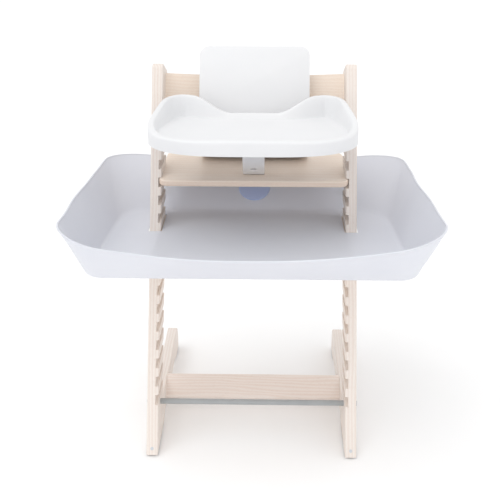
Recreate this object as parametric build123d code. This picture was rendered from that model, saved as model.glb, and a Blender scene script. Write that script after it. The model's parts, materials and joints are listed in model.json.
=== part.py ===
from build123d import *
import math
import os

# Adjustable wooden high chair with a baby set and a food-catching tub.
# Millimetres, +Z up, front of the chair towards -Y, origin on the floor in the
# middle of the bounding box. Shapes are first drawn with Y = 0 at the front
# corner of the uprights' feet; save() moves them to the origin.

# ---- frame ------------------------------------------------------------------
frame_width = 460.0          # over the outer faces of the two uprights
upright_thickness = 25.0
upright_depth = 88.0         # measured across the slant
upright_height = 798.0
lean_angle = 65.8            # upright against the floor, degrees
upright_nose_radius = 14.0   # rounding of the upright's top end
edge_round = 3.0
runner_reach = 485.0         # front of the foot to the rear end of the runner
runner_height = 66.0
runner_arch = 14.0           # hollow under the runner
runner_toe = 30.0            # standing length behind the upright's foot
runner_heel = 60.0           # standing length at the tail
runner_arch_run = 35.0       # level run of the arch's slope at each end
runner_tail_run = 12.0       # tail's slope: level run and drop
runner_tail_drop = 24.0
runner_tail_radius = 9.0
foot_clearance = 4.0         # wood stands this far off the floor, on the glides
glide_margin = 5.0           # front glide ends this far inside the foot
rear_glide_length = 44.0
rear_glide_setback = 30.0    # its middle, from the runner's rear end
glide_side_margin = 1.5
glide_pin_diameter = 5.0
glide_pin_length = 12.0
plug_height = 17.0           # middle of the round plug in the foot's front face
plug_diameter = 7.0
plug_thickness = 1.6

# ---- grooves and plates -----------------------------------------------------
groove_count = 14
groove_pitch = 36.5
first_groove_height = 114.7
groove_depth = 7.0
groove_flare = 3.5           # widening of the groove's front mouth, above and below
groove_mouth = 16.0          # depth of the mouth
plate_thickness = 15.0
plate_fit = 0.4              # play above and beside a plate in its groove
seat_groove = 13             # counted from the floor
foot_groove = 10
seat_depth = 218.0
seat_overhang = 12.0         # seat in front of the upright's front edge
foot_depth = 300.0
foot_overhang = 180.0

# ---- cross members ----------------------------------------------------------
rod_diameter = 12.5
lower_rod_height = 89.0
upper_rod_height = 380.0
rod_setback = 45.0           # rod axis behind the upright's front edge, level
bolt_diameter = 6.0
bolt_length = 42.0
bolt_head_diameter = 12.0
bolt_head_height = 3.6
washer_diameter = 17.0
washer_thickness = 1.2
socket_width = 4.6           # hexagon socket in a bolt head, over its corners
socket_depth = 2.0
hole_play = 0.3              # radial, bolts in drilled wood
running_fit = 0.05           # radial, dowels and threads
brace_depth = 58.0
brace_thickness = 16.0
brace_tilt = 40.0
brace_setback = 212.0
brace_height = 49.0
brace_bolt_reach = 0.26      # bolt axes from the board's middle, share of its depth
barrel_nut_diameter = 10.0
barrel_nut_margin = 1.5      # nut ends below the board's faces
barrel_nut_inset = 12.0      # nut's axis from the board's end
dowel_diameter = 8.0
dowel_length = 40.0
dowel_heights = (20.0, 46.0)

# ---- back -------------------------------------------------------------------
laminate_height = 90.0       # along the slant
laminate_top = 753.0
laminate_thickness = 8.0
laminate_sag = 24.0          # hollow of the curved back, middle to ends
laminate_setback = 58.0      # ends behind the upright's front edge, level
mortise_depth = 6.0
shell_width = 250.0
shell_top = 827.0
shell_thickness = 4.0
shell_setback = 30.0         # shell face behind the upright's front edge, level
shell_corner = 22.0
shell_waist = 668.0          # where the shell turns backwards, towards the seat
shell_waist_bend = 70.0
shell_heel_run = 62.0        # last stretch of the scoop, along the seat plate
shell_heel_rise = 10.0
shell_heel_bend = 60.0
shell_foot_y = 432.0
shell_gap = 0.6              # shell foot above the seat plate
hook_width = 80.0
hook_drop = 18.0

# ---- rail, crotch post, tray ------------------------------------------------
rail_height = 677.0          # middle of the rail
rail_section = 20.0          # height of the rail
rail_width = 16.0
rail_half_width = 143.0      # to the middle of the side arms
rail_front_y = 205.0
rail_corner = 60.0
rail_end_y = 362.0
boss_diameter = 26.0
boss_gap = 0.4               # boss to rail arm
button_diameter = 16.0
button_proud = 4.0
button_play = 0.35
button_travel = 3.0
button_setback = 14.0        # button's middle, from the end of the rail arm
post_width = 49.0
post_thickness = 9.0
post_foot_y = 285.0
post_slot = (14.0, 2.2)      # strap slot near the foot, wide and high
post_slot_height = 20.0      # up the post from its foot
tray_side_reach = 76.0       # tray beyond the middle of the rail's arm, each side
tray_front_y = 66.0
tray_rear_y = 316.0
tray_middle_rear_y = 290.0
tray_bottom = 670.0
tray_height = 67.0           # to the top of the rear lobes
tray_lobe_rise = 34.0        # rear lobes above the rim's middle
tray_lobe_start = 60.0       # half widths where the lobes start to rise
tray_lobe_full = 135.0       # and where they are full height
tray_wall = 4.0
tray_rim_width = 16.0
tray_dish_depth = 10.0
latch_length = 30.0
latch_width = 24.0
latch_y = 269.0
latch_height = 13.0
latch_gap = 0.5

# ---- catcher tub ------------------------------------------------------------
tub_wall = 2.5
tub_gap = 0.4                # tub floor above the foot plate
tub_front_y = -44.0          # front edge of the floor
tub_rear_y = 340.0           # rear edge of the floor
tub_front_reach = 104.0      # floor beyond the uprights' outer faces, each side
tub_rear_reach = 75.0
tub_front_flare = 0.93       # outward run per unit of rise
tub_rear_flare = 1.47
tub_front_side_flare = 0.26
tub_rear_side_flare = 0.42
tub_front_corner = 38.0      # corner radii at the floor
tub_rear_corner = 84.0
tub_corner_growth = 0.45     # added radius per unit of rise
tub_draw_height = 160.0      # height to which the walls are drawn before the rim cut
rim_front_middle = 517.0
rim_front_side = 592.0       # at rim_reach beyond the uprights
rim_rear_middle = 531.0
rim_rear_side = 555.0
rim_reach = 150.0
rim_steepness = 2.0          # rise of the rim line further out, in arc rises
slot_play = 2.5              # round each upright where it passes the floor
slit_width = 2.0
tab_length = 44.0
tab_width = 24.0
tab_thickness = 2.0
tab_gap = 0.4
stud_diameter = 11.0
stud_height = 3.0
stud_stem_diameter = 4.0
stud_reach = 0.3             # stud from the tab's middle, share of its length
tab_height = 30.0            # tab's middle above the tub's floor
disc_diameter = 74.0
disc_thickness = 3.0
disc_gap = 0.3
disc_height = 487.0

# ---- worked out -------------------------------------------------------------
lean = math.radians(lean_angle)
rise_run = 1 / math.tan(lean)                  # level run per unit of rise
level_depth = upright_depth / math.sin(lean)   # upright's depth on the level
half_frame = frame_width / 2
half_inner = half_frame - upright_thickness
plate_half = half_inner + groove_depth - plate_fit
upright_middle = half_frame - upright_thickness / 2


def groove_middle(number):
    return first_groove_height + (number - 1) * groove_pitch


def front_edge(z):
    """Level position of the uprights' front edge at height z."""
    return z * rise_run


tray_half_width = rail_half_width + tray_side_reach
tub_front_half = half_frame + tub_front_reach
tub_rear_half = half_frame + tub_rear_reach
rim_half = half_frame + rim_reach
seat_middle = groove_middle(seat_groove)
seat_top = seat_middle + plate_thickness / 2
foot_top = groove_middle(foot_groove) + plate_thickness / 2
seat_front_y = front_edge(seat_middle) - seat_overhang
tub_floor = foot_top + tub_gap
front_glide_y = front_edge(foot_clearance) + level_depth / 2
rear_glide_y = runner_reach - rear_glide_setback


def save(name, *shapes):
    solids = [Pos(0, -origin_y, 0) * s for shape in shapes for s in shape.solids()]
    body = solids[0] if len(solids) == 1 else Compound(children=solids)
    body.label = name
    export_step(body, "parts/" + name + ".step")


def side_prism(points, x_from, x_to):
    """Prism of a side-view outline given as (y, z) points."""
    face = make_face(Plane.YZ * Polyline(*points, close=True))
    return Pos(x_from, 0, 0) * extrude(face, amount=x_to - x_from, dir=(1, 0, 0))


def cross_cylinder(radius, x_from, x_to, y, z):
    middle = (x_from + x_to) / 2
    return Pos(middle, y, z) * Rot(0, 90, 0) * Cylinder(radius, abs(x_to - x_from))


def mirrored(shape):
    return mirror(shape, Plane.YZ)


# ---- wooden frame -----------------------------------------------------------
def upright():
    """The right upright: a slanted post with grooves on its inner face."""
    top, low = upright_height, foot_clearance
    drop = upright_depth * math.cos(lean)
    body = side_prism([(front_edge(low), low), (front_edge(top), top),
                       (front_edge(top - drop) + level_depth, top - drop),
                       (front_edge(low) + level_depth, low)], half_inner, half_frame)
    top_edges = [e for e in body.edges().filter_by(Axis.X) if e.center().Z > top - drop - 1]
    body = fillet(top_edges, upright_nose_radius)
    long_edges = [e for e in body.edges() if e.bounding_box().size.Z > upright_height / 2]
    body = fillet(long_edges, edge_round)
    for number in range(1, groove_count + 1):
        body -= groove_cut(groove_middle(number))
    for height in (lower_rod_height, upper_rod_height):
        y = front_edge(height) + rod_setback
        body -= cross_cylinder(bolt_diameter / 2 + hole_play, half_inner - 1, half_frame + 1, y, height)
    body -= laminate(laminate_thickness + 2 * running_fit, half_inner + mortise_depth + 0.2)
    for solid in dowels(running_fit):
        body -= solid
    return body - glide_pin(front_glide_y, 2 * running_fit) - foot_plug(running_fit)


def groove_cut(middle):
    """A level groove, open front and rear, with a flared mouth at the front."""
    half = plate_thickness / 2 + plate_fit
    face, over = front_edge(middle), 20
    front, rear = face - over, face + level_depth + over
    outline = [(front, middle - half - groove_flare), (face, middle - half - groove_flare),
               (face + groove_mouth, middle - half), (rear, middle - half), (rear, middle + half),
               (face + groove_mouth / 2, middle + half), (front, middle + half + groove_flare)]
    return side_prism(outline, half_inner - 1, half_inner + groove_depth)


def floor_runner():
    """The right floor runner, from the back of the upright's foot to its rounded tail."""
    low, top = foot_clearance, runner_height
    front = front_edge(low) + level_depth
    shoulder = front_edge(top) + level_depth
    tail, heel, toe = runner_reach - runner_tail_run, runner_reach - runner_heel, front + runner_toe
    body = side_prism([(front, low), (shoulder, top), (tail, top),
                       (runner_reach, top - runner_tail_drop), (runner_reach, low), (heel, low),
                       (heel - runner_arch_run, low + runner_arch),
                       (toe + runner_arch_run, low + runner_arch), (toe, low)],
                      half_inner, half_frame)
    tail_edges = [e for e in body.edges().filter_by(Axis.X)
                  if e.center().Y > tail - 1 and e.center().Z > low + 1]
    body = fillet(tail_edges, runner_tail_radius)
    rails = [e for e in body.edges() if abs(e.center().Z - top) < 0.1
             and e.bounding_box().size.Y > runner_reach / 3]
    body = fillet(rails, edge_round)
    for solid in dowels(running_fit):
        body -= solid
    for y, z in brace_bolt_places():
        body -= cross_cylinder(bolt_diameter / 2 + hole_play, half_inner - 1, half_frame + 1, y, z)
    return body - glide_pin(rear_glide_y, 2 * running_fit)


def dowels(play):
    """Two dowels square to the joint between the right upright and its runner."""
    pin = Cylinder(dowel_diameter / 2 + play, dowel_length + 4 * play)
    return [Pos(upright_middle, front_edge(height) + level_depth, height)
            * Rot(lean_angle - 180, 0, 0) * pin for height in dowel_heights]


def laminate(thickness, half_length):
    """A back board curved in plan, its faces parallel to the uprights' slant."""
    depth_in = (laminate_setback + laminate_thickness / 2) * math.sin(lean)
    radius = (half_inner ** 2 + laminate_sag ** 2) / (2 * laminate_sag)
    middle_y = depth_in + laminate_sag
    ring_centre = middle_y - radius
    ring = Circle(radius + thickness / 2) - Circle(radius - thickness / 2)
    strip = Pos(0, ring_centre) * ring & Pos(0, depth_in + 10) * Rectangle(2 * half_length, 90)
    slant = Plane(origin=(0, 0, 0), x_dir=(1, 0, 0), z_dir=(0, math.cos(lean), math.sin(lean)))
    top_along = (laminate_top + middle_y * math.cos(lean)) / math.sin(lean)
    board = extrude(slant.offset(top_along - laminate_height) * strip, amount=laminate_height)
    return board


def plate(front_y, depth, middle, corner):
    """A board sliding in the grooves, with rounded corners and soft edges."""
    face = Pos(0, front_y + depth / 2) * RectangleRounded(2 * plate_half, depth, corner)
    board = extrude(Pos(0, 0, middle - plate_thickness / 2) * face, amount=plate_thickness)
    outer = board.edges().filter_by(GeomType.LINE).filter_by(Axis.X)
    return fillet(outer, plate_thickness * 0.3)


# ---- cross members and fasteners --------------------------------------------
def rod(height):
    y = front_edge(height) + rod_setback
    body = cross_cylinder(rod_diameter / 2, -half_inner, half_inner, y, height)
    hole = bolt_diameter / 2 + running_fit
    reach = bolt_length - upright_thickness + 2
    for side in (1, -1):
        body -= cross_cylinder(hole, side * half_inner, side * (half_inner - reach), y, height)
    return body


def bolt(y, z):
    """A right-hand bolt: shank through the wood and a domed head outside."""
    start = half_frame + washer_thickness
    shank = cross_cylinder(bolt_diameter / 2, start, start - bolt_length, y, z)
    head = cross_cylinder(bolt_head_diameter / 2, start, start + bolt_head_height, y, z)
    head = fillet(head.edges().sort_by(Axis.X)[-1], 1.6)
    hexagon = extrude(Plane.YZ * RegularPolygon(socket_width / 2, 6), amount=socket_depth + 1,
                      dir=(1, 0, 0))
    return shank + head - Pos(start + bolt_head_height - socket_depth, y, z) * hexagon


def washer(y, z):
    ring = cross_cylinder(washer_diameter / 2, half_frame, half_frame + washer_thickness, y, z)
    return ring - cross_cylinder(bolt_diameter / 2 + hole_play, half_frame - 1, half_frame + 3, y, z)


def both_sides(shapes):
    return list(shapes) + [mirrored(s) for s in shapes]


def rod_places():
    return [(front_edge(h) + rod_setback, h) for h in (lower_rod_height, upper_rod_height)]


def brace_bolt_places():
    """Two bolt axes in the tilted brace board, either side of its middle."""
    tilt, reach = math.radians(brace_tilt), brace_depth * brace_bolt_reach
    return [(brace_setback + s * reach * math.cos(tilt), brace_height + s * reach * math.sin(tilt))
            for s in (-1, 1)]


def barrel_nut(y, z, play=0.0):
    """A cross nut let into the brace, square to the board's face."""
    length = brace_thickness - 2 * barrel_nut_margin
    turn = Pos(half_inner - barrel_nut_inset, y, z) * Rot(brace_tilt, 0, 0)
    return turn * Cylinder(barrel_nut_diameter / 2 + play, length + 2 * play)


def brace():
    length = 2 * half_inner
    board = Box(length, brace_depth, brace_thickness)
    board = fillet(board.edges().filter_by(Axis.X), 2.5)
    board = Pos(0, brace_setback, brace_height) * Rot(brace_tilt, 0, 0) * board
    reach = bolt_length - upright_thickness - washer_thickness + 2
    for y, z in brace_bolt_places():
        for side in (1, -1):
            board -= cross_cylinder(bolt_diameter / 2 + hole_play, side * (half_inner + 1),
                                    side * (half_inner - reach), y, z)
        for nut in both_sides([barrel_nut(y, z, running_fit)]):
            board -= nut
    return board


def nut_with_bore(y, z):
    bore = cross_cylinder(bolt_diameter / 2 + running_fit, half_inner,
                          half_inner - 2 * barrel_nut_inset, y, z)
    return barrel_nut(y, z) - bore


def glide_pin(y, play=0.0):
    """Stem of a glide, up into the wood of the right side."""
    stem = Cylinder(glide_pin_diameter / 2 + play, glide_pin_length)
    return Pos(upright_middle, y, foot_clearance + glide_pin_length / 2) * stem


def glide(length, y):
    """A low rubber pad with a stem, for the right side."""
    face = RectangleRounded(upright_thickness - 2 * glide_side_margin, length, 6)
    pad = extrude(face, amount=foot_clearance)
    pad = fillet(pad.edges().group_by(Axis.Z)[0], 1.2)
    return Pos(upright_middle, y, 0) * pad + glide_pin(y)


def foot_plug(play=0.0):
    """A small round plug, half let into the front face of the right foot."""
    spot = Pos(upright_middle, front_edge(plug_height), plug_height) * Rot(lean_angle, 0, 0)
    return spot * Cylinder(plug_diameter / 2 + play, plug_thickness + 2 * play)


# ---- baby set ---------------------------------------------------------------
def back_shell():
    """Back shell: along the slant above, a scoop down to the seat plate below."""
    top = (front_edge(shell_top) + shell_setback, shell_top)
    waist = (front_edge(shell_waist) + shell_setback, shell_waist)
    foot = (shell_foot_y, seat_top + shell_gap)
    heel = (foot[0] - shell_heel_run, foot[1] + shell_heel_rise)
    face_line = FilletPolyline(top, waist, heel, foot, radius=(shell_waist_bend, shell_heel_bend))
    band = make_face(offset(face_line, shell_thickness, side=Side.LEFT).edges())
    body = Pos(-shell_width / 2, 0, 0) * extrude(Plane.YZ * band, amount=shell_width, dir=(1, 0, 0))
    corners = [e for e in body.edges() if abs(e.center().X) > shell_width / 2 - 1
               and e.center().Z > shell_top - 2 * shell_thickness and e.length < 2 * shell_thickness]
    body = fillet(corners, shell_corner)
    boss_reach = rail_half_width - rail_width / 2 - boss_gap
    boss_y = front_edge(rail_height) + shell_setback + boss_diameter * 0.3
    for side in (1, -1):
        body += cross_cylinder(boss_diameter / 2, side * (shell_width / 2 - 2), side * boss_reach,
                               boss_y, rail_height)
    return body + shell_hook()


def shell_hook():
    """Saddle on the back of the shell, over the top edge of the back board."""
    gap, wall = 1.6, 5.0
    top = laminate_top + gap + 1
    half = laminate_thickness / 2
    near = shell_setback + shell_thickness * 0.6
    far = laminate_setback + half + (laminate_sag + half) / math.sin(lean) + gap + wall

    def at(level, z):
        return (front_edge(z) + level, z)

    outline = [at(near, top), at(far - wall, top), at(far - wall, top - hook_drop),
               at(far, top - hook_drop), at(far, top + wall), at(near, top + wall)]
    return side_prism(outline, -hook_width / 2, hook_width / 2)


def safety_rail():
    """U-shaped rail round the child, its arms ending at the shell's bosses."""
    half, front, corner = rail_half_width, rail_front_y, rail_corner
    path = FilletPolyline((half, rail_end_y), (half, front), (-half, front), (-half, rail_end_y),
                          radius=corner)
    path = Pos(0, 0, rail_height) * path
    across = Plane(origin=(half, rail_end_y, rail_height), x_dir=(1, 0, 0), z_dir=(0, -1, 0))
    section = across * RectangleRounded(rail_width, rail_section, 5)
    body = sweep(section, path)
    for side in (1, -1):
        bore = button_diameter / 2 + button_play
        place = Pos(side * (half + rail_width / 4), rail_end_y - button_setback, rail_height)
        body -= place * Rot(0, 90, 0) * Cylinder(bore, rail_width * 0.75)
    return body


def rail_button():
    """Right release button, in the outer side of the rail arm."""
    outer = rail_half_width + rail_width / 2 + button_proud
    seat = rail_half_width - rail_width / 8 + button_travel + button_play
    knob = cross_cylinder(button_diameter / 2, seat, outer, rail_end_y - button_setback, rail_height)
    return fillet(knob.edges().sort_by(Axis.X)[-1], 1.5)


def crotch_post():
    """Flat post from the front of the rail down and back to the seat plate."""
    foot_z = seat_top + shell_gap
    head_y, head_z = rail_front_y + 4, rail_height - rail_section / 2
    run = Vector(0, post_foot_y - head_y, foot_z - head_z).normalized()
    level = post_thickness / 2 / abs(run.Z)
    outline = [(head_y - level, head_z), (head_y + level, head_z),
               (post_foot_y + level, foot_z), (post_foot_y - level, foot_z)]
    post = side_prism(outline, -post_width / 2, post_width / 2)
    sides = [e for e in post.edges() if e.bounding_box().size.Z > 60]
    post = fillet(sides, 3)
    slot_place = Vector(0, post_foot_y, foot_z) - run * post_slot_height
    return post - Pos(*slot_place) * Box(post_slot[0], 3 * post_thickness, post_slot[1])


def tray_outline(inset):
    """Plan of the tray: full round front, two rear lobes and a hollow between."""
    half = tray_half_width - inset
    front, rear = tray_front_y + inset, tray_rear_y - inset
    hollow = tray_middle_rear_y - inset
    points = [(0, front), (half * 0.55, front + 7), (half * 0.87, front + 42), (half, front + 94),
              (half * 0.94, rear - 74), (half * 0.84, rear - 14), (half * 0.73, rear),
              (half * 0.60, rear - 8), (half * 0.45, hollow + 5), (0, hollow)]
    loop = points + [(-x, y) for x, y in reversed(points[1:-1])]
    return make_face(Spline(*loop, periodic=True))


def tray_cutter(front_top, lobe_top):
    """Solid above the tray's rim: level in front, two raised lobes at the rear."""
    wide, inner, outer = 2 * tray_half_width, tray_lobe_start, tray_lobe_full

    def profile(y, lobe):
        line = [(-wide, lobe), (-outer, lobe), (-inner, front_top), (inner, front_top),
                (outer, lobe), (wide, lobe), (wide, lobe_top + 80), (-wide, lobe_top + 80)]
        return make_face(Polyline(*[(x, y, z) for x, z in line], close=True))

    return loft([profile(tray_front_y - 20, front_top - 6), profile(tray_rear_y + 20, lobe_top)],
                ruled=True)


def tray():
    """Shell of the tray: sunken dish above, hollow for the rail and latches below."""
    lobe_top = tray_bottom + tray_height
    front_top = lobe_top - tray_lobe_rise
    body = extrude(Pos(0, 0, tray_bottom) * tray_outline(0), amount=tray_height)
    dish_floor = front_top - tray_dish_depth
    dish = extrude(Pos(0, 0, dish_floor) * tray_outline(tray_rim_width), amount=tray_height + 5)
    hollow = extrude(Pos(0, 0, tray_bottom - 5) * tray_outline(tray_wall),
                     amount=dish_floor - tray_wall - tray_bottom + 5)
    body = body - tray_cutter(front_top, lobe_top) - dish - hollow
    notch = Box(rail_width + 6, 2 * tray_rear_y - 2 * latch_y, rail_section + 3)
    for side in (1, -1):
        body -= Pos(side * rail_half_width, tray_rear_y, rail_height) * notch
    return body


def tray_latch():
    """Right latch: a finger pull in the tray's hollow, gripping the rail arm."""
    inner = rail_half_width + rail_width / 2 + latch_gap
    y = latch_y
    block = Pos(inner + latch_width / 2, y, tray_bottom + latch_height / 2 + 1) * Box(
        latch_width, latch_length, latch_height)
    block = fillet(block.edges().filter_by(Axis.Z), 5)
    grip = Pos(inner + latch_width * 0.6, y, tray_bottom + 1) * Box(latch_width * 0.4, latch_length * 0.6, 7)
    return block - grip


# ---- catcher tub ------------------------------------------------------------
def tub_section(height, inset):
    """Plan of the tub at a height above its floor, drawn inset by a wall."""
    side_inset = inset * math.hypot(1, tub_front_side_flare)
    front = tub_front_y - tub_front_flare * height + inset * math.hypot(1, tub_front_flare)
    rear = tub_rear_y + tub_rear_flare * height - inset * math.hypot(1, tub_rear_flare)
    front_half = tub_front_half + tub_front_side_flare * height - side_inset
    rear_half = tub_rear_half + tub_rear_side_flare * height - side_inset
    face = Polygon((-front_half, front), (front_half, front), (rear_half, rear), (-rear_half, rear),
                   align=None)
    by_depth = face.vertices().sort_by(Axis.Y)
    grown = tub_corner_growth * height
    face = fillet(by_depth[:2], tub_front_corner + grown)
    face = fillet([v for v in face.vertices() if v.Y > rear - 1 and abs(v.X) > rear_half - 1],
                  tub_rear_corner + grown)
    return Pos(0, 0, tub_floor + height) * face


def rim_cutter():
    """Solid above the wavy rim: low in front, high at the sides, level behind the seat."""
    def profile(y, middle, side):
        curve = ThreePointArc((-rim_half, 0, side), (0, 0, middle), (rim_half, 0, side))
        end = (side + rim_steepness * (side - middle))
        over = Polyline((rim_half, 0, side), (2 * rim_half, 0, end), (2 * rim_half, 0, 2 * end),
                        (-2 * rim_half, 0, 2 * end), (-2 * rim_half, 0, end), (-rim_half, 0, side))
        return Pos(0, y, 0) * make_face([curve.edge(), *over.edges()])

    front = profile(tub_front_y - tub_draw_height, rim_front_middle, rim_front_side)
    rear = profile(tub_rear_y + 2 * tub_draw_height, rim_rear_middle, rim_rear_side)
    return loft([front, rear], ruled=True)


def catcher_tub():
    outer = loft([tub_section(0, 0), tub_section(tub_draw_height, 0)], ruled=True)
    inner = loft([tub_section(tub_wall, tub_wall), tub_section(tub_draw_height, tub_wall)], ruled=True)
    body = outer - inner - rim_cutter()
    low, high = front_edge(tub_floor), front_edge(tub_floor + 6) + level_depth
    for side in (1, -1):
        middle_x = side * upright_middle
        slot = Box(upright_thickness + 2 * slot_play, high - low + 2 * slot_play, 20)
        body -= Pos(middle_x, (low + high) / 2, tub_floor) * slot
        slit = Box(slit_width, 400, 400)
        body -= Pos(middle_x, (low + high) / 2 + 200, tub_floor + 190) * slit
    return body


def rear_wall_plane(x, height, lift):
    """Frame on the outside of the tub's rear wall, its Z axis out of the wall."""
    angle = math.degrees(math.atan2(1, tub_rear_flare))
    y = tub_rear_y + tub_rear_flare * height
    return Pos(x, y, tub_floor + height) * Rot(angle - 180, 0, 0) * Pos(0, 0, lift)


def slit_tab():
    """Closing tab over the right slit, on the outside of the rear wall."""
    tab = Box(tab_length, tab_width, tab_thickness)
    tab = fillet(tab.edges().filter_by(Axis.Z), tab_width / 3)
    for end in (1, -1):
        tab -= Pos(end * tab_length * stud_reach, 0, 0) * Cylinder(stud_stem_diameter / 2 + 0.2, 10)
    return rear_wall_plane(upright_middle, tab_height, tab_gap + tab_thickness / 2) * tab


def press_studs():
    head = Pos(0, 0, stud_height / 2) * Cylinder(stud_diameter / 2, stud_height)
    head = fillet(head.edges().group_by(Axis.Z)[-1], 1.2)
    stud = head + Pos(0, 0, -tab_thickness / 2) * Cylinder(stud_stem_diameter / 2, tab_thickness + 0.2)
    lift = tab_gap + tab_thickness + 0.1
    return [rear_wall_plane(upright_middle + end * tab_length * stud_reach, tab_height, lift) * stud
            for end in (1, -1)]


def centre_disc():
    rise = disc_height - tub_floor
    disc = Cylinder(disc_diameter / 2, disc_thickness)
    disc = fillet(disc.edges().group_by(Axis.Z)[0], 1)
    return rear_wall_plane(0, rise, -(tub_wall + disc_gap + disc_thickness / 2)) * disc


def build():
    os.makedirs("parts", exist_ok=True)
    right_upright, right_runner = upright(), floor_runner()
    save("right_upright", right_upright)
    save("left_upright", mirrored(right_upright))
    save("right_floor_runner", right_runner)
    save("left_floor_runner", mirrored(right_runner))
    save("runner_dowels", *both_sides(dowels(0)))
    save("runner_brace", brace())
    save("brace_barrel_nuts", *both_sides([nut_with_bore(*p) for p in brace_bolt_places()]))
    save("brace_bolts", *both_sides([bolt(*p) for p in brace_bolt_places()]))
    save("brace_washers", *both_sides([washer(*p) for p in brace_bolt_places()]))
    save("lower_stretcher_rod", rod(lower_rod_height))
    save("upper_stretcher_rod", rod(upper_rod_height))
    save("rod_bolts", *both_sides([bolt(*p) for p in rod_places()]))
    save("rod_washers", *both_sides([washer(*p) for p in rod_places()]))
    save("foot_plugs", *both_sides([foot_plug()]))
    save("front_glides", *both_sides([glide(level_depth - 2 * glide_margin, front_glide_y)]))
    save("rear_glides", *both_sides([glide(rear_glide_length, rear_glide_y)]))
    save("back_laminate", laminate(laminate_thickness, half_inner + mortise_depth))
    save("seat_plate", plate(seat_front_y, seat_depth, seat_middle, 22))
    foot_front = front_edge(groove_middle(foot_groove)) - foot_overhang
    save("foot_plate", plate(foot_front, foot_depth, groove_middle(foot_groove), 22))
    save("back_shell", back_shell())
    save("safety_rail", safety_rail())
    save("crotch_post", crotch_post())
    save("right_rail_button", rail_button())
    save("left_rail_button", mirrored(rail_button()))
    save("tray", tray())
    save("right_tray_latch", tray_latch())
    save("left_tray_latch", mirrored(tray_latch()))
    save("catcher_tub", tub_body)
    save("slit_tabs", *both_sides([slit_tab()]))
    save("press_studs", *both_sides(press_studs()))
    save("centre_disc", centre_disc())


tub_body = catcher_tub()
origin_y = (tub_body.bounding_box().min.Y + runner_reach) / 2
build()
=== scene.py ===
# %% [markdown]
# # A wooden high chair with a wide food-catching tub
#
# The chair is two slanted beech posts with grooves, on two floor runners. Seat and
# foot plates slide in the grooves. A white baby set hangs on it: back shell, safety
# rail, crotch post and tray. A soft plastic tub lies on the foot plate and catches
# what falls. The hard pieces come ready made as exact solids, all in metres, with the
# chair's front towards -Y. This lesson gives them their finishes, and makes again the
# pieces whose beauty is in soft curves: the tub, the tray, the softened mouldings and
# the press studs.

# %% Load the frame
import bpy
import bmesh
import json
import math
import numpy as np
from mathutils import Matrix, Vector


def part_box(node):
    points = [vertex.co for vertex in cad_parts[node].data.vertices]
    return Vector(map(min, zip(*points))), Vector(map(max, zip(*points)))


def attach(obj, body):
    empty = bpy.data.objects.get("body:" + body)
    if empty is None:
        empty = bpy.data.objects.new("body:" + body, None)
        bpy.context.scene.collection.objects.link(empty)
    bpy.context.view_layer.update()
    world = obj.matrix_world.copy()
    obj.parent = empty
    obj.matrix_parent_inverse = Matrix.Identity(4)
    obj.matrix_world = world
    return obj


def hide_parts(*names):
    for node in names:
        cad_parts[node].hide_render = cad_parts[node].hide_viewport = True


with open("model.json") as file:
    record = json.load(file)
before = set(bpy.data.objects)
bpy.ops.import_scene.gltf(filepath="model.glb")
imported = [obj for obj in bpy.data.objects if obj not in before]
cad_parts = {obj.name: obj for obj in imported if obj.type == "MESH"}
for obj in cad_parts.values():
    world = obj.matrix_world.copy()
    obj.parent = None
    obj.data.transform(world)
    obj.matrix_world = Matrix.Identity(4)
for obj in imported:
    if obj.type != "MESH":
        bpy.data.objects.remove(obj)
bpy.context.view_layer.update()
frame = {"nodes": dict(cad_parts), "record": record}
body_of = {name: body for body, names in frame["record"]["behaviour"]["bodies"].items()
           for name in names}
print("pieces from the frame:", len(frame["nodes"]))

# %% [markdown]
# ## Camera
#
# The camera stands well back with a mild telephoto lens, a little above the tray and
# looking down about 21 degrees, so both the dish of the tray and the inside of the tub
# show. A small shift of the lens puts its axis off the picture's middle, which frames
# the chair without tilting the camera any further.

# %% Camera
def placed(name, data):
    """A new object in the scene with this mesh, lamp or camera as its data."""
    made = bpy.data.objects.new(name, data)
    bpy.context.scene.collection.objects.link(made)
    return made


lean = math.radians(65.8)           # the posts' slant from the floor
glide_height = 0.004                # rubber under the feet
foot_front_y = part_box("right_upright")[0].y - glide_height / math.tan(lean)
stand_back, eye_height, aside = 1.66, 1.22, 0.033
look_down, look_aside = 21.01, 1.22
camera = placed("camera", bpy.data.cameras.new("camera"))
camera.location = (aside, foot_front_y - stand_back, eye_height)
camera.rotation_euler = (math.radians(90 - look_down), 0, math.radians(look_aside))
camera.data.lens = 65.4
camera.data.sensor_width = 36
camera.data.shift_y = -0.08
bpy.context.scene.camera = camera
print("camera", [round(v, 2) for v in camera.location])

# %% [markdown]
# ## Floor and light
#
# A white-background picture needs light from everywhere: an even white surrounding
# does most of the work, and its dark spots under plates and inside grooves draw the
# shape. One sun with a very wide disc, from the upper front left, adds a gentle
# direction. A softbox beside the camera reaches under the tray and the seat, and a
# weaker one from the right keeps the far side open. The floor is pale and matt, and
# wide enough that its edge lies outside the camera's view.

# %% Floor and light
chair_middle = Vector((0, 0, 0.45))


def studio_light(name, place, size, watts):
    """A square softbox that looks at the middle of the chair."""
    light = placed(name, bpy.data.lights.new(name, "AREA"))
    light.data.size, light.data.energy = size, watts
    light.location = place
    aim = chair_middle - Vector(place)
    light.rotation_euler = aim.to_track_quat("-Z", "Y").to_euler()
    return light


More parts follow.
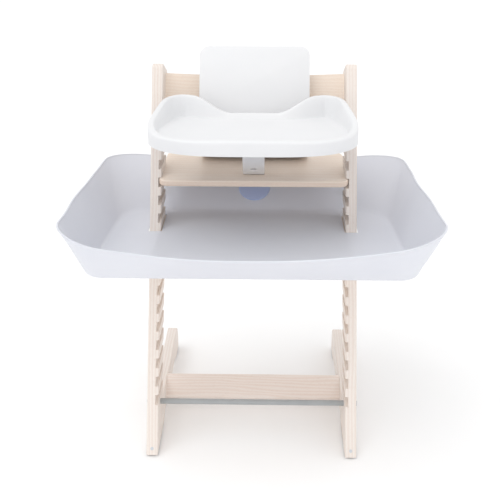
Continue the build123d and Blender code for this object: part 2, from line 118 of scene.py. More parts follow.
studio_light("softbox_front", (-0.5, -2.6, 0.95), 1.8, 6)
studio_light("softbox_right", (2.4, -0.6, 1.5), 1.4, 3)
overhead = studio_light("overhead", (-0.9, -0.5, 2.6), 1.0, 1)
overhead.data.type = "SUN"
overhead.data.energy, overhead.data.angle = 0.6, math.radians(45)
floor_mesh = bpy.data.meshes.new("floor")
reach = 9                           # metres from the middle to each edge
floor_mesh.from_pydata([(-reach, -reach, 0), (reach, -reach, 0), (reach, reach, 0),
                        (-reach, reach, 0)], [], [(0, 1, 2, 3)])
floor = placed("floor", floor_mesh)
world = bpy.data.worlds.new("studio")
world.use_nodes = True
surrounding = world.node_tree.nodes["Background"].inputs
surrounding["Color"].default_value = (1.0, 1.0, 1.0, 1)
surrounding["Strength"].default_value = 0.93
bpy.context.scene.world = world
bpy.context.scene.view_settings.view_transform = "Standard"

# %% [markdown]
# ## Helpers for materials
#
# Colours are written as they look on a screen, as sRGB hex values, and one function
# turns them into the linear numbers that light works in. A second one adds a node, sets
# its values and links it, so that every material below reads as a short list.

# %% Colour and node helpers
def linear(hex_colour):
    """'#F4EDE6' as a linear RGBA colour."""
    parts = [int(hex_colour[i:i + 2], 16) / 255 for i in (1, 3, 5)]
    return tuple(c / 12.92 if c <= 0.04045 else ((c + 0.055) / 1.055) ** 2.4
                 for c in parts) + (1.0,)


def add(tree, kind, sockets=None, family="ShaderNode", **settings):
    """Adds a node. sockets maps an input's name or number to a value or to an output."""
    made = tree.nodes.new(family + kind)
    for name, value in settings.items():
        setattr(made, name, value)
    for key, value in (sockets or {}).items():
        if isinstance(value, bpy.types.NodeSocket):
            tree.links.new(value, made.inputs[key])
        else:
            made.inputs[key].default_value = value
    return made


def new_material(name, **shader):
    """A material, its node tree and its Principled shader with these values set."""
    material = bpy.data.materials.new(name)
    material.use_nodes = True
    tree = material.node_tree
    surface = tree.nodes["Principled BSDF"]
    for key, value in shader.items():
        surface.inputs[key.replace("_", " ")].default_value = value
    return material, tree, surface


def blend_colours(tree, share, first, second):
    """first where share is 0 and second where it is 1, each a colour or an output."""
    return add(tree, "Mix", {0: share, 6: first, 7: second}, data_type="RGBA").outputs[2]


def spread(tree, value, low, high):
    """value, from 0 to 1, stretched to run from low to high."""
    return add(tree, "MapRange", {"Value": value, "To Min": low, "To Max": high}).outputs[0]


def noise(tree, place, scale, detail):
    """Smooth noise from 0 to 1, scale times finer than a metre."""
    made = add(tree, "TexNoise", {"Vector": place, "Scale": scale, "Detail": detail})
    return made.outputs["Fac"]


def set_bump(tree, surface, height, strength, depth):
    """Lets height dent the surface, by up to depth metres."""
    bump = add(tree, "Bump", {"Height": height, "Strength": strength, "Distance": depth})
    tree.links.new(bump.outputs[0], surface.inputs["Normal"])


print("white-washed beech in linear light:", [round(c, 3) for c in linear("#EEE6DF")])

# %% [markdown]
# ## White-washed beech
#
# The posts, runners and cross brace are solid beech with a thin white wash. Beech is a
# pale, even wood: growth rings about 4 mm apart, and short darker flecks that run with
# the grain. The wash fills the pores, so the colour is nearly white with a peach tint
# in the grain, and the surface is matt with a soft sheen.
#
# A solid pattern is used, as if the piece were cut from a trunk: rings round an axis
# that runs with the grain, pulled out of shape by stretched noise. That way the faces
# of one board agree at its edges. The grain's direction is turned for each piece.

# %% Beech
WAVE_METRE = 0.314                  # a wave texture of this scale repeats once a metre


def grain_coordinates(tree, turn, centre):
    """Object coordinates with the grain along Z and the trunk's heart at the centre."""
    place = add(tree, "TexCoord").outputs["Object"]
    turned = add(tree, "Mapping", {"Vector": place, "Rotation": turn}).outputs[0]
    return add(tree, "Mapping", {"Vector": turned, "Location": centre,
                                 "Scale": (1, 1, 0.16)}).outputs[0]


def beech(name, turn, centre, light="#EEE6DF", grain="#DECCC0", ring=0.0065, rough=0.5,
          strength=0.5, wander=9.0):
    """White-washed beech. ring is the growth rings' spacing in metres: real ones are
    2 to 4 mm apart, drawn wider here because finer lines would not show."""
    material, tree, surface = new_material(name, IOR=1.45, Coat_Weight=0.06, Coat_Roughness=0.35)
    place = grain_coordinates(tree, turn, centre)
    rings = add(tree, "TexWave", {"Vector": place, "Scale": WAVE_METRE / ring,
                                  "Distortion": wander, "Detail": 3.0, "Detail Scale": 0.35,
                                  "Detail Roughness": 0.55},
                wave_type="RINGS", rings_direction="Z").outputs["Fac"]
    flecks = noise(tree, place, 900.0, 2.0)
    patches = noise(tree, place, 22.0, 3.0)
    tint = spread(tree, rings, 0.05, strength)
    uneven = add(tree, "Math", {0: tint, 1: spread(tree, patches, 0.35, 1.25)},
                 operation="MULTIPLY").outputs[0]
    colour = blend_colours(tree, uneven, linear(light), linear(grain))
    dark = add(tree, "MapRange", {"Value": flecks, "From Min": 0.56, "From Max": 0.70,
                                  "To Min": 0.0, "To Max": 0.20}).outputs[0]
    colour = blend_colours(tree, dark, colour, linear("#CDB3A3"))
    tree.links.new(colour, surface.inputs["Base Color"])
    tree.links.new(spread(tree, patches, rough - 0.08, rough + 0.10), surface.inputs["Roughness"])
    set_bump(tree, surface, flecks, 0.25, 0.0003)
    return material


along_post = (math.pi / 2 - lean, 0, 0)
along_depth = (math.pi / 2, 0, 0)
along_width = (0, -math.pi / 2, 0)
post_beech = beech("white_washed_beech_posts", along_post, (0.03, 0.055, 0))
runner_beech = beech("white_washed_beech_runners", along_depth, (0.05, 0.04, 0))
brace_beech = beech("white_washed_beech_brace", along_width, (0.03, 0.02, 0), "#F1E7E0",
                    "#DFC6B6", ring=0.008, strength=0.45, wander=22.0)
print("grain along the posts is turned", round(math.degrees(along_post[0]), 1), "degrees")

# %% [markdown]
# ## Beech plywood
#
# The seat, the foot plate and the curved back board are glued from veneers, with the
# face grain across the chair. Their faces are a little warmer than the posts. On the
# edges the layers show as fine lines, 1.5 mm apart, drawn 2.5 mm apart here so that
# they can be seen. The lines are mixed in only where the surface doesn't face up.

# %% Plywood
def plywood(name, up, turn=along_width, veneer=0.0025):
    """Beech plywood with its layers square to up, drawn veneer metres apart."""
    material = beech(name, turn, (0.02, 0.09, 0), "#F6E8DA", "#EBD4C0", ring=0.007, rough=0.46,
                     strength=0.38, wander=14.0)
    tree, surface = material.node_tree, material.node_tree.nodes["Principled BSDF"]
    place = add(tree, "TexCoord").outputs["Object"]
    height = add(tree, "VectorMath", {0: place, 1: up}, operation="DOT_PRODUCT").outputs["Value"]
    line = add(tree, "CombineXYZ", {"X": height}).outputs[0]
    layers = add(tree, "TexWave", {"Vector": line, "Scale": WAVE_METRE / veneer}).outputs["Fac"]
    facing = add(tree, "NewGeometry").outputs["Normal"]
    flat = add(tree, "VectorMath", {0: facing, 1: up}, operation="DOT_PRODUCT").outputs["Value"]
    edge = add(tree, "Math", {0: flat}, operation="ABSOLUTE").outputs[0]
    edge = add(tree, "MapRange", {"Value": edge, "From Min": 0.25, "From Max": 0.6,
                                  "To Min": 0.55, "To Max": 0.0}).outputs[0]
    share = add(tree, "Math", {0: edge, 1: layers}, operation="MULTIPLY").outputs[0]
    faces = surface.inputs["Base Color"].links[0].from_socket
    tree.links.new(blend_colours(tree, share, faces, linear("#D6B59C")),
                   surface.inputs["Base Color"])
    return material


plate_plywood = plywood("beech_plywood_plates", (0, 0, 1))
board_plywood = plywood("beech_plywood_back_board", (0, math.sin(lean), -math.cos(lean)))
print("plywood:", plate_plywood.name, board_plywood.name)

# %% [markdown]
# ## Plastics
#
# The baby set is injection-moulded polypropylene: white, satin, and slightly
# see-through at the edges, so a little light spreads under its surface. Its fine
# texture comes from the spark-eroded mould, about 0.3 mm, drawn at 1.2 mm. The tub is
# a softer plastic, a little darker and bluer, and passes more light. The buttons are
# sanded grey, and the round disc is matt blue with a fine grain.

# %% Plastics
def moulded_plastic(name, hex_colour, shade, rough, grain, depth, **shader):
    """Moulded plastic: nearly even colour, soft uneven gloss and a fine mould grain."""
    material, tree, surface = new_material(name, IOR=1.49, **shader)
    place = add(tree, "TexCoord").outputs["Object"]
    clouds = noise(tree, place, 9.0, 3.0)
    texture = noise(tree, place, 1 / grain, 2.0)
    colour = blend_colours(tree, clouds, linear(hex_colour), linear(shade))
    tree.links.new(colour, surface.inputs["Base Color"])
    tree.links.new(spread(tree, clouds, rough - 0.06, rough + 0.08), surface.inputs["Roughness"])
    set_bump(tree, surface, texture, 0.2, depth)
    return material


even_scatter = (1.0, 1.0, 1.0)
white_moulding = moulded_plastic("satin_white_polypropylene", "#EBEBEC", "#E6E7E9", 0.34, 0.0012,
                                 0.0002, Subsurface_Weight=0.15, Subsurface_Scale=0.004,
                                 Subsurface_Radius=even_scatter)
tub_plastic = moulded_plastic("soft_translucent_polyethylene", "#DBDDE4", "#D4D6DE", 0.48, 0.0022,
                              0.0004, Subsurface_Weight=0.4, Subsurface_Scale=0.006,
                              Subsurface_Radius=even_scatter, Sheen_Weight=0.05)
grey_plastic = moulded_plastic("sanded_grey_abs", "#D3D6DA", "#C7CACF", 0.5, 0.001, 0.0002)
disc_plastic = moulded_plastic("matt_blue_silicone", "#CCDBFF", "#C2D2FC", 0.6, 0.0016, 0.0003,
                               Subsurface_Weight=0.1, Subsurface_Scale=0.002,
                               Subsurface_Radius=even_scatter)
print("plastics:", white_moulding.name, tub_plastic.name, grey_plastic.name, disc_plastic.name)

# %% [markdown]
# ## Metals and rubber
#
# The rods are steel tube with a grey powder coat, which lies like a very fine orange
# peel, 0.5 mm, drawn at 1.5 mm. The bolts and washers are zinc plated: real metal, so
# they keep the default IOR, with faint turning lines. The glides under the wood are
# dark rubber, dusty at their lower edge.

# %% Metals and rubber
def powder_coat(name, hex_colour):
    """Satin powder coat with an orange-peel surface."""
    material, tree, surface = new_material(name, IOR=1.5, Roughness=0.42)
    place = add(tree, "TexCoord").outputs["Object"]
    peel = noise(tree, place, 1 / 0.0015, 1.0)
    wide = noise(tree, place, 30.0, 2.0)
    tree.links.new(blend_colours(tree, wide, linear(hex_colour), linear("#9C9FA1")),
                   surface.inputs["Base Color"])
    set_bump(tree, surface, peel, 0.35, 0.0003)
    return material


def zinc_plate(name):
    """Bare zinc plating, turned a little uneven."""
    material, tree, surface = new_material(name, Metallic=1.0)
    place = add(tree, "TexCoord").outputs["Object"]
    turned = noise(tree, place, 700.0, 2.0)
    tree.links.new(blend_colours(tree, turned, linear("#C9CCD0"), linear("#AEB2B8")),
                   surface.inputs["Base Color"])
    tree.links.new(spread(tree, turned, 0.25, 0.42), surface.inputs["Roughness"])
    return material


def dusty_rubber(name):
    """Dark rubber with pale dust on its lowest 3 mm."""
    material, tree, surface = new_material(name, IOR=1.52, Roughness=0.8)
    place = add(tree, "TexCoord").outputs["Object"]
    height = add(tree, "SeparateXYZ", {0: place}).outputs["Z"]
    dust = add(tree, "MapRange", {"Value": height, "From Max": 0.003, "To Min": 0.5,
                                  "To Max": 0.0})
    speck = noise(tree, place, 400.0, 3.0)
    share = add(tree, "Math", {0: dust.outputs[0], 1: speck}, operation="MULTIPLY").outputs[0]
    tree.links.new(blend_colours(tree, share, linear("#3A3A3D"), linear("#8C8884")),
                   surface.inputs["Base Color"])
    set_bump(tree, surface, speck, 0.3, 0.0003)
    return material


grey_rods = powder_coat("grey_powder_coat", "#A9ACAD")
zinc = zinc_plate("zinc_plated_steel")
rubber = dusty_rubber("dark_rubber")
studio_floor = moulded_plastic("matt_studio_floor", "#FEFEFE", "#FCFCFC", 0.8, 0.004, 0.0001)
floor.data.materials.append(studio_floor)
print("metals and rubber:", grey_rods.name, zinc.name, rubber.name)

# %% [markdown]
# ## Finishes on the ready-made pieces
#
# Each exact solid keeps its shape and takes one finish. The list says which, in the
# words of the workshop.

# %% Give the ready-made pieces their finishes
finishes = {
    post_beech: ["left_upright", "right_upright"],
    runner_beech: ["left_floor_runner", "right_floor_runner", "runner_dowels"],
    brace_beech: ["runner_brace"],
    plate_plywood: ["seat_plate", "foot_plate"],
    board_plywood: ["back_laminate"],
    white_moulding: ["back_shell", "safety_rail", "crotch_post", "tray"],
    grey_plastic: ["left_rail_button", "right_rail_button", "left_tray_latch",
                   "right_tray_latch", "press_studs", "foot_plugs"],
    tub_plastic: ["catcher_tub", "slit_tabs"],
    disc_plastic: ["centre_disc"],
    grey_rods: ["lower_stretcher_rod", "upper_stretcher_rod"],
    zinc: ["rod_bolts", "rod_washers", "brace_bolts", "brace_washers", "brace_barrel_nuts"],
    rubber: ["front_glides", "rear_glides"],
}
finish_of = {name: finish for finish, names in finishes.items() for name in names}
for name, finish in finish_of.items():
    for place in frame["nodes"][name].material_slots:
        place.link = "OBJECT"
        place.material = finish
print("without a finish:", sorted(set(frame["nodes"]) - set(finish_of)))

# %% [markdown]
# ## Softened mouldings
#
# A mould can't make a razor-sharp edge, and a child's chair shouldn't have one. The
# exact solids of the back shell, the crotch post and the tray's latches have square
# edges. Each is copied, its loose triangles are merged into clean faces, and a narrow
# bevel rounds the edges, so that they catch a thin line of light.

# %% Soften the mouldings
def new_piece(name, mesh, finish, body):
    """Puts a finished mesh in the scene, with its finish, on its body."""
    piece = placed(name, mesh)
    mesh.materials.clear()
    mesh.materials.append(finish)
    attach(piece, body)
    return piece


def plain_mesh(work, name):
    """The bmesh as a plain mesh. The bmesh is used up."""
    mesh = bpy.data.meshes.new(name)
    work.to_mesh(mesh)
    work.free()
    return mesh


def smooth(mesh):
    """Shades every face of the mesh smooth."""
    for face in mesh.polygons:
        face.use_smooth = True
    return mesh


def baked(piece):
    """Turns a piece's modifiers into plain mesh."""
    scene_now = bpy.context.evaluated_depsgraph_get()
    mesh = bpy.data.meshes.new_from_object(piece.evaluated_get(scene_now))
    piece.modifiers.clear()
    piece.data = mesh
    return piece


def softened(node, width):
    """A copy of an exact solid with its sharp edges rounded by width metres."""
    work = bmesh.new()
    work.from_mesh(frame["nodes"][node].data)
    bmesh.ops.remove_doubles(work, verts=work.verts, dist=1e-6)
    bmesh.ops.dissolve_limit(work, angle_limit=math.radians(0.5), verts=work.verts,
                             edges=work.edges)
    piece = placed(node + "_soft", plain_mesh(work, node + "_soft"))
    bevel = piece.modifiers.new("round_edges", "BEVEL")
    bevel.width, bevel.segments, bevel.limit_method = width, 2, "ANGLE"
    bevel.angle_limit, bevel.use_clamp_overlap = math.radians(35), True
    baked(piece)
    piece.data.materials.clear()
    piece.data.materials.append(finish_of[node])
    piece.data.set_sharp_from_angle(angle=math.radians(40))
    smooth(piece.data)
    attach(piece, body_of[node])
    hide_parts(node)
    return piece


for node, width in (("back_shell", 0.0014), ("crotch_post", 0.001), ("left_tray_latch", 0.001),
                    ("right_tray_latch", 0.001)):
    print(node, "softened:", len(softened(node, width).data.polygons), "faces")

# %% [markdown]
# ## The tray
#
# The tray is one moulding with a free-form outline: a full round front, a hollow at
# the rear for the child, and two lobes that rise beside the child's arms. It could be
# sculpted, but its shape follows a rule: every height is the same outline, moved
# inwards. So the outline is a smooth closed curve through a few points, and the tray
# is skinned from rings of it: up the skirt, over the rolled rim and down into the dish.

# %% The tray's outline
def closed_curve(points, count):
    """count evenly spaced points on the smooth closed curve through points.

    The slopes at the points make the curve bend without a jump, as a natural spline
    does, with each stretch as long as the straight line between its ends.
    """
    points = np.array(points, float)
    n = len(points)
    step = np.linalg.norm(np.roll(points, -1, 0) - points, axis=1)
    before = np.roll(step, 1)
    system, right = np.zeros((n, n)), np.zeros((n, 2))
    for i in range(n):
        a, b, c = points[i - 1], points[i], points[(i + 1) % n]
        system[i, i - 1], system[i, i] = step[i], 2 * (step[i] + before[i])
        system[i, (i + 1) % n] = before[i]
        right[i] = 3 * (step[i] * (b - a) / before[i] + before[i] * (c - b) / step[i])
    slopes = np.linalg.solve(system, right)
    dense = []
    for i in range(n):
        p, q, h = points[i], points[(i + 1) % n], step[i]
        for t in np.linspace(0, 1, 60, endpoint=False):
            dense.append((2*t**3 - 3*t**2 + 1) * p + (t**3 - 2*t**2 + t) * h * slopes[i]
                         + (3*t**2 - 2*t**3) * q + (t**3 - t**2) * h * slopes[(i + 1) % n])
    dense = np.array(dense)
    run = np.concatenate([[0], np.cumsum(np.linalg.norm(np.roll(dense, -1, 0) - dense, axis=1))])
    wanted = np.linspace(0, run[-1], count, endpoint=False)
    ring = np.vstack([dense, dense[:1]])
    return np.column_stack([np.interp(wanted, run, ring[:, k]) for k in (0, 1)])


tray_low, tray_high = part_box("tray")
tray_front, outline_count = tray_low.y, 240
tray_widest = 0.219                 # half width of the outline's points
tray_rear, tray_hollow = tray_front + 0.250, tray_front + 0.224
side = [(0.55, tray_front + 0.007), (0.87, tray_front + 0.042), (1.0, tray_front + 0.094),
        (0.94, tray_rear - 0.074), (0.84, tray_rear - 0.014), (0.73, tray_rear),
        (0.60, tray_rear - 0.008), (0.45, tray_hollow + 0.005)]
side = [(share * tray_widest, y) for share, y in side]
tray_line = closed_curve([(0, tray_front)] + side + [(0, tray_hollow)]
                         + [(-x, y) for x, y in reversed(side)], outline_count)
print("tray outline:", len(tray_line), "points,", round(2 * tray_high.x, 3), "m wide")

# %% [markdown]
# The rings are joined with plain four-sided faces. The dish's floor closes with rings
# that shrink to one point in the middle. The tray's wall is then given its thickness
# inwards, and the two notches for the rail's arms are cut from its rear skirt.

# %% Skin the tray
def inward_ring(line, inset):
    """The closed line moved inwards by inset, square to itself."""
    run = np.roll(line, -1, 0) - np.roll(line, 1, 0)
    run /= np.linalg.norm(run, axis=1)[:, None]
    return line + inset * np.column_stack([-run[:, 1], run[:, 0]])


def skin(name, rings, closing_point=None):
    """Mesh through rings that have the same number of points each."""
    work = bmesh.new()
    rows = [[work.verts.new(p) for p in ring] for ring in rings]
    count = len(rows[0])
    for low_row, high_row in zip(rows, rows[1:]):
        for i in range(count):
            j = (i + 1) % count
            work.faces.new((low_row[i], low_row[j], high_row[j], high_row[i]))
    if closing_point is not None:
        middle = work.verts.new(closing_point)
        for i in range(count):
            work.faces.new((rows[-1][i], rows[-1][(i + 1) % count], middle))
    return smooth(plain_mesh(work, name))


def smooth_step(value, low, high):
    """0 below low, 1 above high and an even S between them."""
    share = np.clip((value - low) / (high - low), 0, 1)
    return share * share * (3 - 2 * share)


tray_bottom = tray_low.z
rim_level = tray_bottom + 0.033     # top of the rim at the front
dish_level = rim_level - 0.010
lobe_rise, front_dip = 0.034, 0.003
roll = 0.006                        # radius of the rim's rolled outer edge
rim_width, dish_slope = 0.011, 0.013


def rim_top(points):
    """Height of the tray's rim: level at the front, rising to the two rear lobes."""
    lobe = smooth_step(np.abs(points[:, 0]), 0.050, 0.135)
    back = smooth_step(points[:, 1], tray_front + 0.045, tray_rear - 0.035)
    return rim_level + lobe * (lobe_rise * back - front_dip * (1 - back))


def tray_ring(inset, share, drop=0.0):
    """A ring inset from the outline, share of the way from the dish floor to the rim."""
    points = inward_ring(tray_line, inset)
    top = rim_top(points)
    return np.column_stack([points, dish_level + share * (top - dish_level) - drop])


tray_rings = [np.column_stack([inward_ring(tray_line, 0.0), np.full(outline_count, z)])
              for z in (tray_bottom, tray_bottom + 0.002)]
skirt, top_outer = tray_rings[-1], tray_ring(0, 1, roll)
tray_rings += [skirt + (top_outer - skirt) * t for t in (0.2, 0.4, 0.6, 0.8, 1.0)]
tray_rings += [tray_ring(roll * (1 - math.cos(a)), 1, roll * (1 - math.sin(a)))
               for a in np.radians([18, 36, 54, 72, 90])]
tray_rings += [tray_ring(inset, 1) for inset in (0.0085, rim_width)]
tray_rings += [tray_ring(rim_width + dish_slope * t, 1 - smooth_step(t, 0, 1))
               for t in np.linspace(0.1, 1, 12)]
dish_edge = tray_rings[-1]
middle = np.array([0, (tray_front + tray_hollow) / 2, dish_level])
tray_rings += [middle + (dish_edge - middle) * t for t in (0.93, 0.8, 0.6, 0.4, 0.2, 0.08)]
tray_mesh = skin("tray_moulding", tray_rings, middle)
print("tray skin:", len(tray_mesh.polygons), "faces, rim", round(rim_level, 3), "to",
      round(float(max(ring[:, 2].max() for ring in tray_rings)), 3))

# %% Give the tray its wall and notches
def cutting_block(name, centre, size):
    """A block used to cut other pieces."""
    work = bmesh.new()
    bmesh.ops.create_cube(work, size=1)
    bmesh.ops.scale(work, vec=size, verts=work.verts)
    bmesh.ops.translate(work, vec=centre, verts=work.verts)
    return placed(name, plain_mesh(work, name))


def cut(piece, blocks):
    """Cuts the blocks out of the piece, then removes them."""
    for block in blocks:
        step = piece.modifiers.new("cut", "BOOLEAN")
        step.operation, step.solver, step.object = "DIFFERENCE", "EXACT", block
    baked(piece)
    for block in blocks:
        bpy.data.objects.remove(block)
    return piece


def walled(piece, thickness):
    """Gives an open skin its wall, inwards."""
    wall = piece.modifiers.new("wall", "SOLIDIFY")
    wall.thickness, wall.offset, wall.use_even_offset = thickness, -1, True
    return baked(piece)


rail_low, rail_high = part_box("safety_rail")
arm_x = (rail_high.x + rail_low.x) / 2 + 0.143      # middle of the rail's side arm
notch_width, notch_depth, notch_play = 0.022, 0.094, 0.003
tray_piece = new_piece("tray_moulding", tray_mesh, white_moulding, "tray_top")
walled(tray_piece, 0.0035)
notches = [cutting_block("notch", (side_x, tray_rear, (rail_low.z + rail_high.z) / 2),
                         (notch_width, notch_depth, rail_high.z - rail_low.z + notch_play))
           for side_x in (-arm_x, arm_x)]
cut(tray_piece, notches)
tray_piece.data.set_sharp_from_angle(angle=math.radians(50))
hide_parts("tray")
print("tray:", len(tray_piece.data.polygons), "faces")

# %% [markdown]
# ## The catcher tub
#
# The tub is one soft, thin sheet of plastic: a flat floor that lies on the foot plate,
# walls that lean outwards, and a wavy rim, low in front and behind the seat and high
# at the corners. A box model would give it hard folds. Instead its plan is a rounded
# trapezium at every height, the walls are straight lines between the plans, the fold
# to the floor is a soft bend, and the rim's height follows two arcs. The free walls
# hang in long shallow waves, as a flexible sheet does.

# %% The tub's plan and rim
floor_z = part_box("foot_plate")[1].z + 0.0004
tub_front, tub_rear = foot_front_y - 0.044, foot_front_y + 0.340
front_flare, rear_flare = 0.93, 1.47        # how far each wall leans out for its height
front_side_flare, rear_side_flare = 0.26, 0.42
front_floor_half, rear_floor_half = 0.334, 0.305
front_corner, rear_corner, corner_growth = 0.038, 0.084, 0.45
draw = 0.160                                # height at which the walls' upper plan is drawn
rim_half = 0.380                            # half width at which the rim's side heights hold
rim_front = (0.517, 0.592)                  # rim above the ground, at the middle and the side
rim_rear = (0.531, 0.555)


def tub_plan(height, inset=0.0):
    """Rounded trapezium of the tub at a height above its floor, as (x, y) points."""
    front = tub_front - front_flare * height + inset
    rear = tub_rear + rear_flare * height - inset
    front_half = front_floor_half + front_side_flare * height - inset
    rear_half = rear_floor_half + rear_side_flare * height - inset
    corners = np.array([(front_half, front), (rear_half, rear), (-rear_half, rear),
                        (-front_half, front)])
    radii = np.array([front_corner, rear_corner, rear_corner, front_corner])
    radii = radii + corner_growth * height - inset * 0.5
    line = []
    for i in range(4):
        before, here, after = corners[i - 1], corners[i], corners[(i + 1) % 4]
        come, leave = here - before, after - here
        come, leave = come / np.linalg.norm(come), leave / np.linalg.norm(leave)
        turn = math.acos(np.clip(np.dot(come, leave), -1, 1))
        reach = radii[i] * math.tan(turn / 2)
        start, square = here - come * reach, np.array([-come[1], come[0]])
        for a in np.linspace(0, turn, 19):
            line.append(start + radii[i] * (math.sin(a) * come + (1 - math.cos(a)) * square))
        onward = corners[(i + 2) % 4] - after
        onward /= np.linalg.norm(onward)
        next_turn = math.acos(np.clip(np.dot(leave, onward), -1, 1))
        end = after - leave * radii[(i + 1) % 4] * math.tan(next_turn / 2)
        count = 60 if i % 2 else 32
        line += [line[-1] + (end - line[-1]) * t for t in np.linspace(0, 1, count + 1)[1:-1]]
    return np.array(line)


def arc_height(x, middle, side):
    """Height at x of the arc that is middle high at x = 0 and side high at rim_half."""
    rise = side - middle
    radius = (rim_half ** 2 + rise ** 2) / (2 * rise)
    return middle + radius - np.sqrt(np.maximum(radius ** 2 - x ** 2, 0))


def rim_height(points):
    """Height of the wavy rim over a point: low at the middle, high at the corners."""
    back = (points[:, 1] - (tub_front - draw)) / (tub_rear + 2 * draw - tub_front + draw)
    front_line = arc_height(points[:, 0], *rim_front)
    rear_line = arc_height(points[:, 0], *rim_rear)
    return front_line + (rear_line - front_line) * back


# The wall leans out as it rises, and the rim's height depends on how far out it is, so
# the two are found together in a few rounds.
floor_line, top_line = tub_plan(0), tub_plan(draw)
rise = np.full(len(floor_line), 0.08)
for _ in range(12):
    rise = rim_height(floor_line + (top_line - floor_line) * (rise / draw)[:, None]) - floor_z
print("rim stands", round(float(rise.min()), 3), "to", round(float(rise.max()), 3),
      "above the tub's floor")

# %% [markdown]
# The rings run from the middle of the floor outwards, through the soft bend, and up
# the wall. The waves grow with height, and leave out the rear wall, where the disc and
# the closing tabs sit flat on it.

# %% Skin the tub
wave_size, ripple_size = 0.0022, 0.0012


def tub_point_rows():
    """Rings of points from the floor's edge to the rim."""
    bend = 0.008
    inner = tub_plan(0, bend)
    rows = []
    wall_foot = floor_line + (top_line - floor_line) * (bend / draw)
    for t in np.linspace(0, 1, 8):
        flat = (1 - t) ** 2 * inner + 2 * t * (1 - t) * floor_line + t ** 2 * wall_foot
        rows.append(np.column_stack([flat, floor_z + t ** 2 * np.full(len(flat), bend)]))
    for t in np.linspace(0, 1, 15)[1:]:
        height = bend + (rise - bend) * t
        flat = floor_line + (top_line - floor_line) * (height / draw)[:, None]
        rows.append(np.column_stack([flat, floor_z + height]))
    return rows


def waved(rows):
    """Adds the long shallow waves of a free-hanging sheet to the front and side walls."""
    along = np.roll(floor_line, 1, 0) - np.roll(floor_line, -1, 0)
    out = np.column_stack([-along[:, 1], along[:, 0]])
    out /= np.linalg.norm(out, axis=1)[:, None]
    for row in rows:
        lift = smooth_step(row[:, 2] - floor_z, 0.012, 0.11)
        free = 1 - smooth_step(row[:, 1], tub_rear - 0.11, tub_rear - 0.01)
        phase = 11.0 * row[:, 0] + 14.0 * row[:, 1]
        wave = wave_size * np.sin(phase) + ripple_size * np.sin(2.3 * phase + 1.1)
        row[:, :2] += out * (lift * free * wave)[:, None]
    return rows


tub_wall = 0.0025
tub_rows = waved(tub_point_rows())
tub_middle = np.array([0, (tub_front + tub_rear) / 2, floor_z])
floor_rows = [tub_middle + (tub_rows[0] - tub_middle) * t
              for t in (0.05, 0.2, 0.4, 0.6, 0.8, 0.93)]
tub_rings = list(reversed(tub_rows)) + list(reversed(floor_rows))
tub_mesh = skin("catcher_tub_sheet", tub_rings, tub_middle)
tub_mesh.flip_normals()
tub_piece = new_piece("catcher_tub_sheet", tub_mesh, tub_plastic, body_of["catcher_tub"])
walled(tub_piece, tub_wall)
print("tub sheet:", len(tub_piece.data.polygons), "faces")

# %% [markdown]
# ## Helpers for node trees
#
# Two kinds of piece follow a rule, so Geometry Nodes make them: the bead along the
# tub's rim and the press studs. Both trees begin with named inputs and end in the same
# way, so that part is written once.

# %% Helpers for node trees
def new_tree(name, measures, given_name, made_name, vectors=()):
    """A Geometry Nodes tree with its inputs, and the sockets that they come from."""
    tree = bpy.data.node_groups.new(name, "GeometryNodeTree")
    face = tree.interface
    face.new_socket(given_name, in_out="INPUT", socket_type="NodeSocketGeometry")
    for measure, value in measures.items():
        socket = face.new_socket(measure, in_out="INPUT", socket_type="NodeSocketFloat")
        socket.default_value = value
    for vector in vectors:
        face.new_socket(vector, in_out="INPUT", socket_type="NodeSocketVector")
    face.new_socket("Finish", in_out="INPUT", socket_type="NodeSocketMaterial")
    face.new_socket(made_name, in_out="OUTPUT", socket_type="NodeSocketGeometry")
    return tree, tree.nodes.new("NodeGroupInput").outputs


def shape(tree, kind, sockets, **settings):
    """Adds a Geometry Nodes node and gives its first output."""
    return add(tree, kind, sockets, "GeometryNode", **settings).outputs[0]


def end_tree(tree, made, made_name, given):
    """Shades the made geometry smooth, gives it its finish and hands it out."""
    flowing = shape(tree, "SetShadeSmooth", {0: made})
    real = shape(tree, "RealizeInstances", {0: flowing})
    done = shape(tree, "SetMaterial", {0: real, "Material": given["Finish"]})
    add(tree, "Output", {made_name: done}, "NodeGroup")
    return tree


def made_by_nodes(name, mesh, tree, values, body):
    """Runs a Geometry Nodes tree on a mesh once and keeps the plain result."""
    piece = placed(name, mesh)
    nodes = piece.modifiers.new("nodes", "NODES")
    nodes.node_group = tree
    for socket in tree.interface.items_tree:
        if socket.in_out == "INPUT" and socket.name in values:
            nodes[socket.identifier] = values[socket.name]
    baked(piece)
    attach(piece, body)
    return piece


print("bodies with pieces:", sorted(set(body_of.values())))

# %% [markdown]
# ## The rolled edge of the rim
#
# The rim ends in a thin rolled bead that keeps the soft sheet in shape. It follows a
# path, so Geometry Nodes make it: the path becomes a curve, and a small round profile
# runs along it. Its two sizes are inputs of the tree.

# %% The bead
def bead_tree():
    """Geometry Nodes: a round bead along the edges of a mesh path."""
    tree, given = new_tree("rim_bead", {"Bead Radius": 0.002, "Spacing": 0.006}, "Path", "Bead")
    path = shape(tree, "MeshToCurve", {"Mesh": given["Path"]})
    even = shape(tree, "ResampleCurve", {"Curve": path, "Length": given["Spacing"]}, mode="LENGTH")
    ring = shape(tree, "CurvePrimitiveCircle", {"Resolution": 8, "Radius": given["Bead Radius"]})
    bead = shape(tree, "CurveToMesh", {"Curve": even, "Profile Curve": ring})
    return end_tree(tree, bead, "Bead", given)


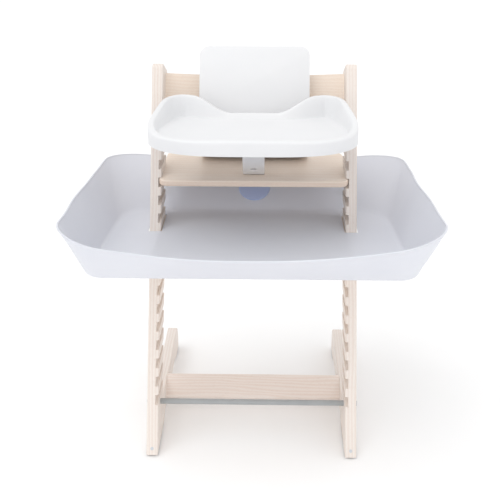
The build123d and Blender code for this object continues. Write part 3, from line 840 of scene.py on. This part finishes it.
rim_path = tub_rows[-1].copy()
out = rim_path - np.array([0, (tub_front + tub_rear) / 2, 0])
out[:, 2] = 0
rim_path -= tub_wall / 2 * out / np.linalg.norm(out, axis=1)[:, None]
path_mesh = bpy.data.meshes.new("rim_path")
path_mesh.from_pydata([tuple(p) for p in rim_path], [(i, (i + 1) % len(rim_path))
                                                     for i in range(len(rim_path))], [])
bead_piece = made_by_nodes("catcher_tub_bead", path_mesh, bead_tree(),
                           {"Bead Radius": 0.0021, "Spacing": 0.006, "Finish": tub_plastic},
                           body_of["catcher_tub"])
print("bead:", len(bead_piece.data.polygons), "faces")

# %% [markdown]
# ## Press studs
#
# Four moulded studs hold the closing tabs behind the tub. They are all alike, so
# Geometry Nodes shape one of them and put it on every stud's place: a low dome with a
# flat seat, tilted as the wall is. The dome's radius, height and tilt are inputs. Only
# the heads are made, since the stems can't be seen under them.

# %% The studs
stud_radius, stud_height = 0.0055, 0.003
stud_lift = 0.001                   # dome's seat outside the middle of the exact stud


def stud_tree():
    """Geometry Nodes: one low domed stud on every point of a mesh."""
    tree, given = new_tree("press_stud", {"Radius": stud_radius, "Height": stud_height},
                           "Places", "Studs", ["Tilt"])
    narrow = add(tree, "Math", {0: given["Radius"], 1: 0.62}, operation="MULTIPLY").outputs[0]
    seat = shape(tree, "MeshCone", {"Vertices": 32, "Side Segments": 3, "Radius Top": narrow,
                                    "Radius Bottom": given["Radius"], "Depth": given["Height"]})
    cap = shape(tree, "SubdivisionSurface", {"Mesh": seat, "Level": 2, "Edge Crease": 0.35})
    many = shape(tree, "InstanceOnPoints", {"Points": given["Places"], "Instance": cap,
                                            "Rotation": given["Tilt"]})
    return end_tree(tree, many, "Studs", given)


def loose_part_boxes(node):
    """The lowest and highest corner of each separate solid in a node, left to right."""
    work = bmesh.new()
    work.from_mesh(frame["nodes"][node].data)
    bmesh.ops.remove_doubles(work, verts=work.verts, dist=1e-6)
    waiting, boxes = set(work.verts), []
    while waiting:
        group, border = set(), [waiting.pop()]
        while border:
            vert = border.pop()
            group.add(vert)
            near = {other for edge in vert.link_edges for other in edge.verts} - group
            waiting -= near
            border += near
        points = np.array([v.co for v in group])
        boxes.append((points.min(0), points.max(0)))
    work.free()
    return sorted(boxes, key=lambda box: tuple(box[0]))


wall_tilt = math.atan2(1, rear_flare)
out_of_wall = np.array([0, math.sin(wall_tilt), -math.cos(wall_tilt)])
stud_places = [(low + high) / 2 + stud_lift * out_of_wall
               for low, high in loose_part_boxes("press_studs")]
places_mesh = bpy.data.meshes.new("stud_places")
places_mesh.from_pydata([tuple(p) for p in stud_places], [], [])
stud_piece = made_by_nodes("press_studs_domed", places_mesh, stud_tree(),
                           {"Radius": stud_radius, "Height": stud_height,
                            "Tilt": (wall_tilt - math.pi, 0, 0), "Finish": grey_plastic},
                           body_of["press_studs"])
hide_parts("press_studs")
print("studs:", len(stud_places), "places,", len(stud_piece.data.polygons), "faces")

# %% [markdown]
# ## Slots and slits
#
# The posts pass through two slots in the floor. From each slot a slit runs back and up
# through the rear wall, so the tub can be slid on from the front and closed with the
# tabs behind. The same blocks cut the sheet and the bead.

# %% Cut the slots and slits
post_width, post_depth = 0.025, 0.088       # the depth is square to the post's slant
slot_play, slit_width = 0.0025, 0.002


def slot_blocks(with_slots):
    """Blocks for the slots in the floor, and for the slits behind them."""
    low_y = foot_front_y + floor_z / math.tan(lean)
    high_y = (foot_front_y + (floor_z + 0.006) / math.tan(lean)
              + post_depth / math.sin(lean))
    centre_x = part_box("right_upright")[1].x - post_width / 2
    blocks = []
    for x in (-centre_x, centre_x):
        if with_slots:
            blocks.append(cutting_block("slot", (x, (low_y + high_y) / 2, floor_z),
                                        (post_width + 2 * slot_play,
                                         high_y - low_y + 2 * slot_play, 0.020)))
        blocks.append(cutting_block("slit", (x, (low_y + high_y) / 2 + 0.2, floor_z + 0.19),
                                    (slit_width, 0.4, 0.4)))
    return blocks


cut(tub_piece, slot_blocks(True))
cut(bead_piece, slot_blocks(False))
tub_piece.data.set_sharp_from_angle(angle=math.radians(50))
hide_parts("catcher_tub")
print("tub:", len(tub_piece.data.polygons), "faces after the cuts")
